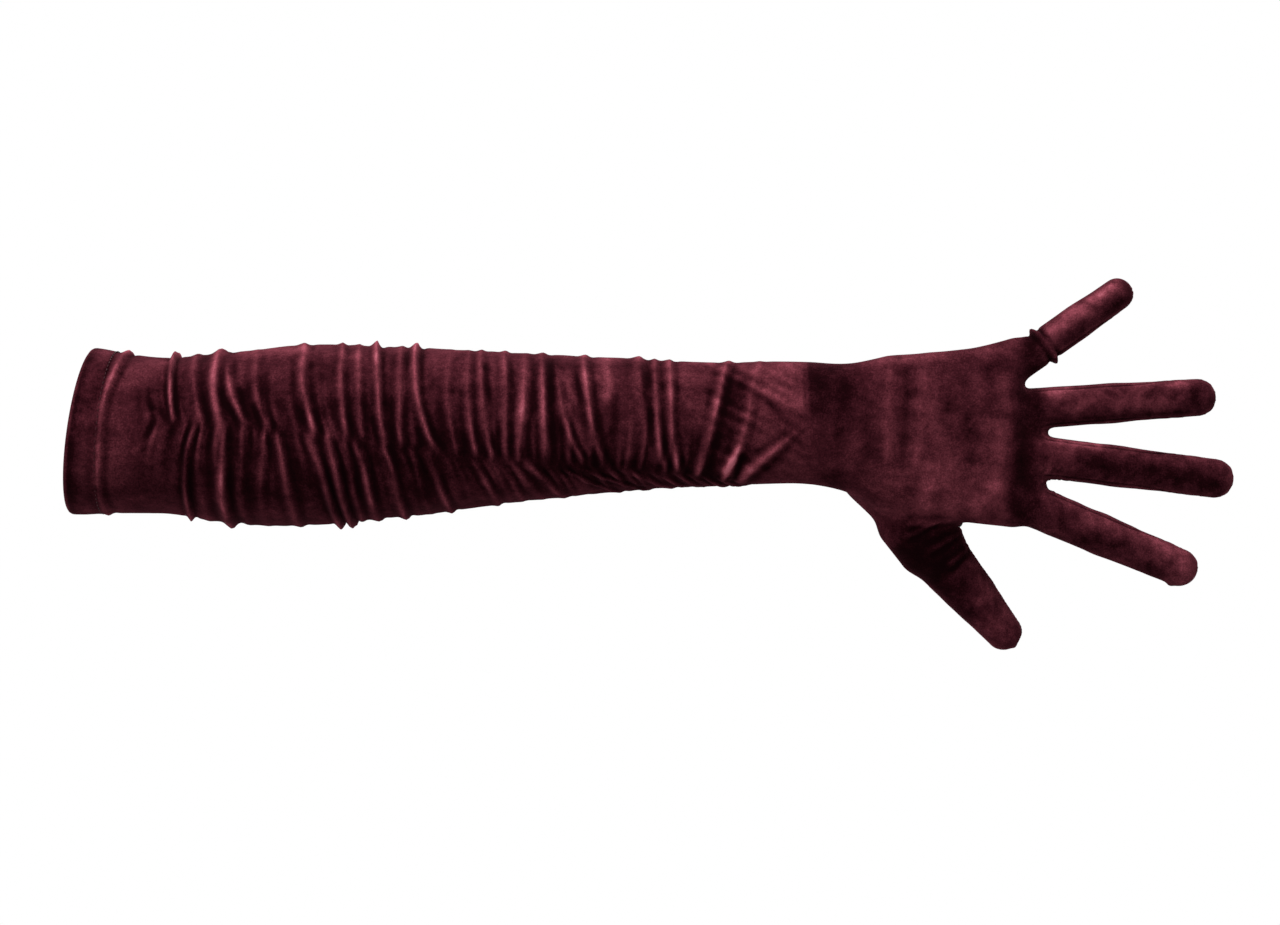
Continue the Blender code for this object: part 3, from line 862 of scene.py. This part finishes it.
def added(name, data):
    obj = bpy.data.objects.new(name, data)
    bpy.context.scene.collection.objects.link(obj)
    return obj


def made_mesh(name, bm, *materials):
    mesh = bpy.data.meshes.new(name)
    bm.to_mesh(mesh)
    bm.free()
    for material in materials:
        mesh.materials.append(material)
    return mesh


def smooth_outside(bm):
    """Turns all faces outwards and shades them smooth."""
    bm.normal_update()
    bmesh.ops.recalc_face_normals(bm, faces=bm.faces)
    for face in bm.faces:
        face.smooth = True


def grid_normals(points):
    """Outward directions on a grid of points whose columns go round the arm."""
    down = np.gradient(points, axis=0)
    padded = np.concatenate([points[:, -2:-1], points, points[:, 1:2]], axis=1)
    across = (padded[:, 2:] - padded[:, :-2]) / 2
    normal = np.cross(down, across)
    return normal / np.linalg.norm(normal, axis=2, keepdims=True)


def arm_points(x, angle, inset):
    """Points on the oval arm form, angle in degrees from the back of the hand towards the thumb."""
    half_height, half_depth, middle = section_at(x)
    turn = np.radians(angle)
    y = -(half_depth - inset) * np.cos(turn)
    z = middle - (half_height - inset) * np.sin(turn)
    slanted = x + MOUTH_SLANT * z * np.maximum(1 - x / SLANT_END, 0.0) ** 2
    return np.stack([slanted, y, z], axis=-1)


def hem_path(travel):
    """Follows the cloth from the raw edge turned inside, round the fold at the mouth and out along the
    sleeve: distance from the mouth and inset."""
    arc = math.pi * HEM_TURN
    inner = travel < TURNED_IN
    outer = travel > TURNED_IN + arc
    swing = np.clip((travel - TURNED_IN) / HEM_TURN, 0, math.pi)
    x = np.where(inner, HEM_TURN + TURNED_IN - travel, HEM_TURN - HEM_TURN * np.sin(swing))
    x = np.where(outer, HEM_TURN + travel - TURNED_IN - arc, x)
    inset = np.where(inner, 2 * HEM_TURN, HEM_TURN + HEM_TURN * np.cos(swing))
    return x, np.where(outer, 0.0, inset)


SLEEVE_ROWS = 420
SLEEVE_COLUMNS = 224
OVERRUN = 0.006  # cloth made past a cut, so that it lies alike on both sides of it
SKIN_VOXEL = 0.00068
DIGIT_INSET = 0.014  # how far inside the palm a digit's rough solid starts
DIGIT_SHORT = 0.0005  # and how far short of its tip it ends
NEAR_CUT = (0.003, 0.0195)  # faces this near a cut, along the digit and in all, are split there
FLARE_END = 0.0078  # how far the rounded ends of the thumb's flare reach


def sleeve_cloth():
    """The sleeve with its turned hem, as one sheet of cloth, to the cut at the wrist and a little past."""
    bm = bmesh.new()
    bmesh.ops.create_grid(bm, x_segments=SLEEVE_ROWS, y_segments=SLEEVE_COLUMNS, size=0.5)
    mesh = made_mesh("sleeve", bm)
    flat = read(mesh.vertices, "co", 3)
    row = np.round((flat[:, 0] + 0.5) * SLEEVE_ROWS).astype(int)
    column = np.round((flat[:, 1] + 0.5) * SLEEVE_COLUMNS).astype(int)
    length = TURNED_IN + math.pi * HEM_TURN + WRIST_CUT + OVERRUN - HEM_TURN
    travel = np.repeat(np.linspace(0, 1, SLEEVE_ROWS + 1)[:, None] * length, SLEEVE_COLUMNS + 1, axis=1)
    turn = np.repeat(np.linspace(0, 360, SLEEVE_COLUMNS + 1)[None, :], SLEEVE_ROWS + 1, axis=0)
    x, inset = hem_path(travel)
    points = arm_points(x, seam_angle_at(x)[0] - turn, inset)
    far = points[:, 0, 0] > HAND_FORM_FROM
    points[far] = ease_onto_form(points[far].reshape(-1, 3), 5, flat=True).reshape(points[far].shape)
    places = points.reshape(-1, 3)
    on_top = (inset <= 0.0).ravel()
    height, pile = sleeve_relief(x.ravel(), turn.ravel(), places)
    hand_height, hand_pile_and_shade = hand_relief(places)
    height = height * on_top + hand_height
    pile = (pile + brushed_and_shaded(places)) * on_top + hand_pile_and_shade
    girth = from_gathers(x, turn)
    height = drawn_together(height.reshape(x.shape), girth)
    pile = drawn_together(pile.reshape(x.shape), girth)
    points = points + grid_normals(points) * (height * MM)[..., None]
    mesh.vertices.foreach_set("co", points[row, column].ravel())
    store(mesh, "form_normal", grid_normals(points)[row, column])
    store(mesh, "pile", pile[row, column])
    store(mesh, "station", x[row, column])
    return mesh


def drawn_together(values, girth):
    """Evens out values across the gathers, where two edges of cloth are sewn to each other."""
    share = 0.5 * bell(girth, 2.6)
    for _ in range(8):
        before = np.concatenate([values[:, -2:-1], values[:, :-1]], axis=1)
        after = np.concatenate([values[:, 1:], values[:, 1:2]], axis=1)
        values = values * (1 - share) + share * (before + after) / 2
    return values


def store(mesh, name, values):
    kind = "FLOAT_VECTOR" if values.ndim > 1 else "FLOAT"
    layer = mesh.attributes.new(name, kind, "POINT")
    layer.data.foreach_set("vector" if values.ndim > 1 else "value", values.astype(np.float32).ravel())


def block(bm, place, segments, rings):
    """Adds a closed tube whose points go to place(share, angle)."""
    tube = bmesh.new()
    bmesh.ops.create_cone(tube, cap_ends=True, segments=segments, radius1=1, radius2=1, depth=1)
    lengthwise = [edge for edge in tube.edges if edge.verts[0].co.z * edge.verts[1].co.z < 0]
    bmesh.ops.subdivide_edges(tube, edges=lengthwise, cuts=rings, use_grid_fill=False)
    for vertex in tube.verts:
        vertex.co = place(vertex.co.z + 0.5, math.atan2(vertex.co.x, vertex.co.y))
    mesh = made_mesh("tube", tube)
    bm.from_mesh(mesh)
    bpy.data.meshes.remove(mesh)


def blocked_out_hand():
    """The hand, fingers and thumb as rough overlapping solids, remeshed into one skin."""
    bm = bmesh.new()
    thumb = DIGITS["thumb"]
    whole = THUMB_ROOT - GUSSET_HEEL
    overhang = FLARE_END / whole.length

    def palm(share, angle):
        x = WRIST_CUT - OVERRUN * 2 + (PALM_END + 0.001 - WRIST_CUT + OVERRUN * 2) * share
        return Vector(arm_points(np.array(x), math.degrees(angle), 0.0))

    def flare(share, angle):
        """Follows the thumb's base from its heel, both ends rounded."""
        run = share * (1 + 2 * overhang) - overhang
        inside = min(max(run, 0.0), 1.0)
        past = (run - inside) / overhang
        rounded = math.sqrt(max(1 - past**2, 0.0))
        width = (GUSSET_HALF_WIDTH + (THUMB_HALF_WIDTHS[0] - GUSSET_HALF_WIDTH) * inside) * rounded
        depth = (GUSSET_HALF_DEPTH + (THUMB_HALF_DEPTH - GUSSET_HALF_DEPTH) * inside) * rounded
        middle = GUSSET_HEEL + whole * inside + thumb.axis * (FLARE_END * past)
        return middle + thumb.across * (width * math.sin(angle)) - thumb.palmward * (depth * math.cos(angle))

    block(bm, palm, 64, 20)
    for digit in DIGITS.values():
        reach = digit.length + DIGIT_INSET - DIGIT_SHORT
        block(bm, lambda share, angle: digit.point(reach * share - DIGIT_INSET, angle), 24, 48)
    block(bm, flare, 32, 40)
    for centre, halves in PADS:
        ball = Matrix.Translation(centre) @ Matrix.Diagonal((*halves, 1.0))
        bmesh.ops.create_uvsphere(bm, u_segments=24, v_segments=16, radius=0.96, matrix=ball)
    smooth_outside(bm)
    obj = added("hand_block", made_mesh("hand_block", bm))
    remesh = obj.modifiers.new("skin", "REMESH")
    remesh.mode = "VOXEL"
    remesh.voxel_size = SKIN_VOXEL
    made = bpy.data.meshes.new_from_object(obj.evaluated_get(bpy.context.evaluated_depsgraph_get()))
    bpy.data.objects.remove(obj)
    return made


def hand_cloth():
    """The cloth of the hand and the digits, from a little before the cut at the wrist."""
    mesh = blocked_out_hand()
    bm = bmesh.new()
    bm.from_mesh(mesh)
    for _ in range(3):
        for _ in range(4):
            bmesh.ops.smooth_vert(
                bm, verts=bm.verts, factor=0.5, use_axis_x=True, use_axis_y=True, use_axis_z=True
            )
        points = ease_onto_form(np.array([vertex.co for vertex in bm.verts]), 3)
        for vertex, point in zip(bm.verts, points):
            vertex.co = point
    cut_plane(bm, Vector((WRIST_CUT, 0, 0)), Vector((1, 0, 0)), list(bm.faces))
    for digit in DIGITS.values():
        for distance in (digit.starts, digit.cut):
            centre = digit.root + digit.axis * distance
            away = {face: face.calc_center_median() - centre for face in bm.faces}
            near = [
                face for face, offset in away.items()
                if abs(offset.dot(digit.axis)) < NEAR_CUT[0] and offset.length < NEAR_CUT[1]
            ]
            cut_plane(bm, centre, digit.axis, near)
    bm.normal_update()
    bm.to_mesh(mesh)
    bm.free()
    points = read(mesh.vertices, "co", 3)
    slope = form_slope(points)
    normals = slope / np.linalg.norm(slope, axis=1, keepdims=True)
    height, pile = hand_relief(points)
    store(mesh, "rest", points)
    mesh.vertices.foreach_set("co", (points + normals * (height * MM)[:, None]).ravel())
    mesh.update()
    store(mesh, "form_normal", read(mesh.vertex_normals, "vector", 3))
    store(mesh, "pile", pile + brushed_and_shaded(points))
    store(mesh, "station", points[:, 0])
    return mesh


def cut_plane(bm, centre, normal, faces):
    edges = {edge for face in faces for edge in face.edges}
    verts = {vertex for face in faces for vertex in face.verts}
    bmesh.ops.bisect_plane(
        bm, geom=[*verts, *edges, *faces], plane_co=centre, plane_no=normal, dist=1e-7
    )


def hand_parts(mesh):
    """Which piece each face of the hand's cloth belongs to, by number, and the names in order."""
    centres = face_means(mesh, read(mesh.attributes["rest"].data, "vector", 3))
    names = ["hand"]
    part = np.zeros(len(centres), int)
    distances = {name: digit.distance(centres) for name, digit in DIGITS.items()}
    nearest = np.min(list(distances.values()), axis=0)
    for name, digit in DIGITS.items():
        along = digit.local(centres)[0]
        mine = (distances[name] <= nearest + 1e-9) & (along > digit.starts)
        part[mine] = len(names)
        names.append(f"{name}_root")
        part[mine & (along > digit.cut)] = len(names)
        names.append(f"{name}_tip")
    part[centres[:, 0] < WRIST_CUT] = -1
    return part, names


def sewn_piece(name, mesh, keep, velvet, backing):
    """A closed piece of cloth from the faces to keep: velvet outside, knitted backing inside."""
    bm = bmesh.new()
    bm.from_mesh(mesh)
    bm.faces.ensure_lookup_table()
    drop = [face for face, kept in zip(bm.faces, keep) if not kept]
    bmesh.ops.delete(bm, geom=drop, context="FACES")
    bmesh.ops.remove_doubles(bm, verts=bm.verts, dist=1e-7)
    normal = bm.verts.layers.float_vector["form_normal"]
    inside = bm.verts.layers.float.new("inside")
    for item in bmesh.ops.extrude_face_region(bm, geom=list(bm.faces))["geom"]:
        if isinstance(item, bmesh.types.BMVert):
            item.co -= item[normal] * CLOTH
            item[inside] = 1.0
    smooth_outside(bm)
    for face in bm.faces:
        face.material_index = 1 if all(vertex[inside] > 0.5 for vertex in face.verts) else 0
    piece = made_mesh(name, bm, velvet, backing)
    shade_like_one_cloth(piece)
    return added(name, piece)


def shade_like_one_cloth(mesh):
    """Sets normals so that no edge shows where two pieces meet."""
    normals = read(mesh.attributes["form_normal"].data, "vector", 3)
    share = face_means(mesh, read(mesh.attributes["inside"].data, "value"))
    share = np.repeat(share, read(mesh.polygons, "loop_total", kind=int))
    custom = normals[read(mesh.loops, "vertex_index", kind=int)]
    custom[share > 0.99] *= -1
    custom[(share > 0.01) & (share < 0.99)] = 0.0
    mesh.normals_split_custom_set(custom.tolist())


# Materials


def velvet_material():
    """Crushed stretch velvet: dark where the pile is seen end on, rosy where it leans. Its colour follows the
    pile attribute, which also carries painted highlights and painted shade.
    """
    g = Graph("wine_velvet")
    here = g.place()
    cloud = g.noise(g.place(stretch=(0.55, 1.0, 1.0)), 95, 3.0, 0.6)
    blotch = g.noise(here, 330, 3.0, 0.62, 0.4)
    grain = g.noise(here, 1500, 2.0, 0.6)
    lie_and_shading = (
        g.attribute("pile") * 0.80
        + 0.40
        + (cloud - 0.5) * 0.40
        + (blotch - 0.5) * 0.36
        + (grain - 0.5) * 0.48
    )
    colour = g.ramp(
        lie_and_shading,
        (
            (0.00, (0.0036, 0.0007, 0.0011)),
            (0.20, (0.0095, 0.0015, 0.0025)),
            (0.40, (0.0310, 0.0056, 0.0088)),
            (0.60, (0.0730, 0.0150, 0.0215)),
            (0.82, (0.1700, 0.0370, 0.0520)),
            (1.00, (0.2900, 0.0800, 0.1050)),
        ),
    )
    fluff = g.bump(g.noise(here, 2600, 2.0, 0.7), 0.00035, 0.5)
    return g.finish(
        Base_Color=colour,
        Roughness=0.90 - lie_and_shading * 0.12,
        Normal=g.bump(blotch, 0.0009, 0.35, fluff),
        Sheen_Weight=0.10,
        Sheen_Roughness=0.38,
        Sheen_Tint=(1.0, 0.28, 0.38, 1.0),
        Specular_IOR_Level=0.0,
    )


def backing_material():
    """The knitted back of the velvet: fine ribs along the arm."""
    g = Graph("knitted_backing")
    loops = g.noise(g.place(stretch=(2.0, 1.0, 1.0)), 1100, 2.0, 0.6)
    shade = g.ribs("Z", 330.0, 1.4) * 0.45 + loops * 0.55
    return g.finish(
        Base_Color=g.ramp(shade, ((0.2, (0.055, 0.012, 0.020)), (0.8, (0.150, 0.038, 0.058)))),
        Roughness=0.92 - shade * 0.1,
        Normal=g.bump(shade, 0.0004, 0.6),
        Sheen_Weight=0.1,
        Specular_IOR_Level=0.15,
    )


def elastic_material():
    g = Graph("woven_elastic")
    ribs = g.ribs("X", 700.0, 0.6, 1.0)
    return g.finish(
        Base_Color=g.ramp(ribs, ((0.2, (0.012, 0.010, 0.011)), (0.8, (0.045, 0.038, 0.042)))),
        Roughness=0.8 - ribs * 0.15,
        Normal=g.bump(ribs, 0.0003, 0.7),
        Specular_IOR_Level=0.25,
    )


def thread_material():
    g = Graph("sewing_thread")
    twist = g.ribs("DIAGONAL", 900.0, 0.5)
    return g.finish(
        Base_Color=g.ramp(twist, ((0.1, (0.008, 0.001, 0.002)), (0.9, (0.040, 0.007, 0.011)))),
        Roughness=0.72 - twist * 0.15,
        Normal=g.bump(twist, 0.0001, 0.5),
        Specular_IOR_Level=0.1,
    )


# Pieces that aren't cut from the main cloth


def hem_stitches(material):
    """The row of stitches that holds the hem, just past the raw edge that is turned inside."""
    bm = bmesh.new()
    at = np.array(STITCH_LINE)
    for k in range(STITCHES):
        first = 360 * k / STITCHES
        made = bmesh.ops.create_uvsphere(bm, u_segments=8, v_segments=6, radius=1.0)
        middle = Vector(arm_points(at, first + 180 / STITCHES, -0.00002))
        ahead = Vector(arm_points(at, first + 0.5, 0.0)) - Vector(arm_points(at, first, 0.0))
        along = ahead.normalized()
        out = Vector((0, middle.y, middle.z)).normalized()
        sides = [side * half for side, half in zip((along, out, along.cross(out)), STITCH)]
        for vertex in made["verts"]:
            vertex.co = middle + sum((side * part for side, part in zip(sides, vertex.co)), Vector())
    smooth_outside(bm)
    return added("hem_stitches", made_mesh("hem_stitches", bm, material))


def gather_elastic(name, start, end, material):
    """The elastic tape inside the gathers, rippled where it is let off its stretch."""
    bm = bmesh.new()
    bmesh.ops.create_grid(bm, x_segments=int((end - start) / 0.0009), y_segments=6, size=0.5)
    made = bmesh.ops.extrude_face_region(bm, geom=list(bm.faces))["geom"]
    inner = {item for item in made if isinstance(item, bmesh.types.BMVert)}
    for vertex in bm.verts:
        x = np.array(start + (end - start) * (vertex.co.x + 0.5))
        angle = seam_angle_at(x)[0] + math.degrees(TAPE_WIDTH / section_at(x)[0]) * vertex.co.y
        inset = TAPE_INSET + 0.00018 * math.sin(x / 0.0011) + (TAPE_THICKNESS if vertex in inner else 0.0)
        vertex.co = Vector(arm_points(x, angle, inset))
    smooth_outside(bm)
    return added(name, made_mesh(name, bm, material))


# The scene round it


def soft_light(name, place, target, size, power):
    data = bpy.data.lights.new(name, "AREA")
    data.shape = "RECTANGLE"
    data.size, data.size_y = size
    data.energy = power
    obj = added(name, data)
    obj.location = place
    obj.rotation_euler = (Vector(target) - obj.location).to_track_quat("-Z", "Y").to_euler()


def camera():
    data = bpy.data.cameras.new("camera")
    data.sensor_width = 36.0
    data.lens = 78.6
    data.clip_end = 50.0
    obj = added("camera", data)
    obj.location = (0.2395, -1.2, -0.0135)
    obj.rotation_euler = (math.radians(90), 0, 0)
    bpy.context.scene.camera = obj


def studio():
    """Even light from a pale room, white where the camera sees past the object, and three soft lights."""
    world = bpy.data.worlds.new("studio")
    world.use_nodes = True
    tree = world.node_tree
    fill = tree.nodes["Background"]
    fill.inputs["Color"].default_value = (1.0, 0.99, 0.98, 1.0)
    fill.inputs["Strength"].default_value = 0.55
    backdrop = tree.nodes.new("ShaderNodeBackground")
    backdrop.inputs["Color"].default_value = (1.0, 1.0, 1.0, 1.0)
    seen = tree.nodes.new("ShaderNodeMixShader")
    tree.links.new(tree.nodes.new("ShaderNodeLightPath").outputs["Is Camera Ray"], seen.inputs[0])
    tree.links.new(fill.outputs[0], seen.inputs[1])
    tree.links.new(backdrop.outputs[0], seen.inputs[2])
    tree.links.new(seen.outputs[0], tree.nodes["World Output"].inputs["Surface"])
    bpy.context.scene.world = world
    bpy.context.scene.view_settings.view_transform = "Standard"
    middle = (0.24, 0.0, 0.0)
    soft_light("key", (0.05, -0.75, 1.15), middle, (0.7, 0.5), 26.0)
    soft_light("side", (-0.9, -0.9, 0.5), middle, (0.5, 0.5), 8.0)
    soft_light("back", (0.5, 1.0, 0.9), middle, (0.8, 0.8), 22.0)


def pale_floor():
    """A floor that the camera sees as plain white."""
    g = Graph("pale_floor")
    g.finish(Base_Color=(0.55, 0.55, 0.55, 1.0), Roughness=0.95)
    lit = g.node("ShaderNodeEmission", Color=(1.0, 1.0, 1.0, 1.0), Strength=1.0)
    seen = g.node("ShaderNodeLightPath").outputs["Is Camera Ray"]
    mixed = g.node(
        "ShaderNodeMixShader", i0=seen, i1=g.shader.outputs["BSDF"], i2=lit.outputs["Emission"]
    )
    g.join(g.tree.nodes["Material Output"].inputs["Surface"], mixed.outputs[0])
    bm = bmesh.new()
    bmesh.ops.create_grid(
        bm, x_segments=1, y_segments=1, size=9.0, matrix=Matrix.Translation((0.24, 0.0, -0.62))
    )
    added("floor", made_mesh("floor", bm, g.material))


ELBOW_BLEND = (0.010, 0.114)
WRIST_BLEND = (0.290, WRIST_CUT)
CUT_LENGTHS = {"upper_sleeve": 0.13, "forearm": 0.18, "wrist": 0.045, "hand": 0.075}
DIGIT_CUT_LENGTH = 0.04


def flat_size(obj, length):
    """The cut size of a closed piece of cloth that long, from the area of its two faces."""
    area = sum(face.area for face in obj.data.polygons) / 2
    return (area / length, length)


def cut_cloth(velvet, backing):
    """All the pieces of cloth, by name."""
    sleeve = sleeve_cloth()
    stations = face_means(sleeve, read(sleeve.attributes["station"].data, "value"))
    spans = {
        "upper_sleeve": (-1.0, ELBOW_BLEND[1]),
        "forearm": (ELBOW_BLEND[1], WRIST_BLEND[0]),
        "wrist": (WRIST_BLEND[0], WRIST_CUT),
    }
    pieces = {}
    for name, (start, end) in spans.items():
        kept = (stations > start) & (stations < end)
        pieces[name] = sewn_piece(f"{name}_cloth", sleeve, kept, velvet, backing)
    hand = hand_cloth()
    part, names = hand_parts(hand)
    for number, name in enumerate(names):
        pieces[name] = sewn_piece(f"{name}_cloth", hand, part == number, velvet, backing)
    return pieces


def hang_cloth(pieces, nodes):
    """Ties the forearm and hand pieces to their bodies, fixes the other pieces where they lie, and hides the
    nodes that each piece stands for.
    """

    def owned(*starts):
        return [node for node in nodes if node.startswith(starts)]

    upper, forearm, wrist, hand = (pieces[name] for name in ("upper_sleeve", "forearm", "wrist", "hand"))
    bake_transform(upper)
    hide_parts("cuff_hem", *owned("upper_sleeve_", "elbow_sleeve_"))
    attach(forearm, "forearm")
    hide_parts(*owned("forearm_sleeve_"))
    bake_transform(wrist)
    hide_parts(*owned("wrist_sleeve_"))
    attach(hand, "hand")
    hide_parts(*owned("hand_", "web_"), "thumb_gusset")
    for name, digit in DIGITS.items():
        for body, parent, start, end in (
            (f"{name}_root", "hand", digit.starts, digit.bent_by),
            (f"{name}_tip", f"{name}_root", digit.tip_bends, digit.tip_bent_by),
        ):
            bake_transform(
                pieces[body], parent, body,
                start=tuple(digit.root + digit.axis * start), end=tuple(digit.root + digit.axis * end),
            )
            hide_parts(*owned(f"{body}_"))
    for name, piece in pieces.items():
        flat_size(piece, CUT_LENGTHS.get(name, DIGIT_CUT_LENGTH))


def add_notions(elastic, thread):
    """The stitches and the elastic."""
    stitches = hem_stitches(thread)
    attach(stitches, "upper_sleeve")
    near = gather_elastic("gather_elastic_elbow", 0.036, ELBOW_BLEND[1], elastic)
    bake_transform(near)
    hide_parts("elbow_ruche_elastic")
    far = gather_elastic("gather_elastic_forearm", ELBOW_BLEND[1], 0.286, elastic)
    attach(far, "forearm")
    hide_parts("forearm_ruche_elastic")


def main():
    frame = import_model()
    velvet, backing, elastic, thread = (
        velvet_material(), backing_material(), elastic_material(), thread_material()
    )
    camera()
    studio()
    pale_floor()
    hang_cloth(cut_cloth(velvet, backing), list(frame["nodes"]))
    add_notions(elastic, thread)
    band = frame["nodes"]["cuff_elastic"]
    band.data.materials.clear()
    band.data.materials.append(elastic)


main()
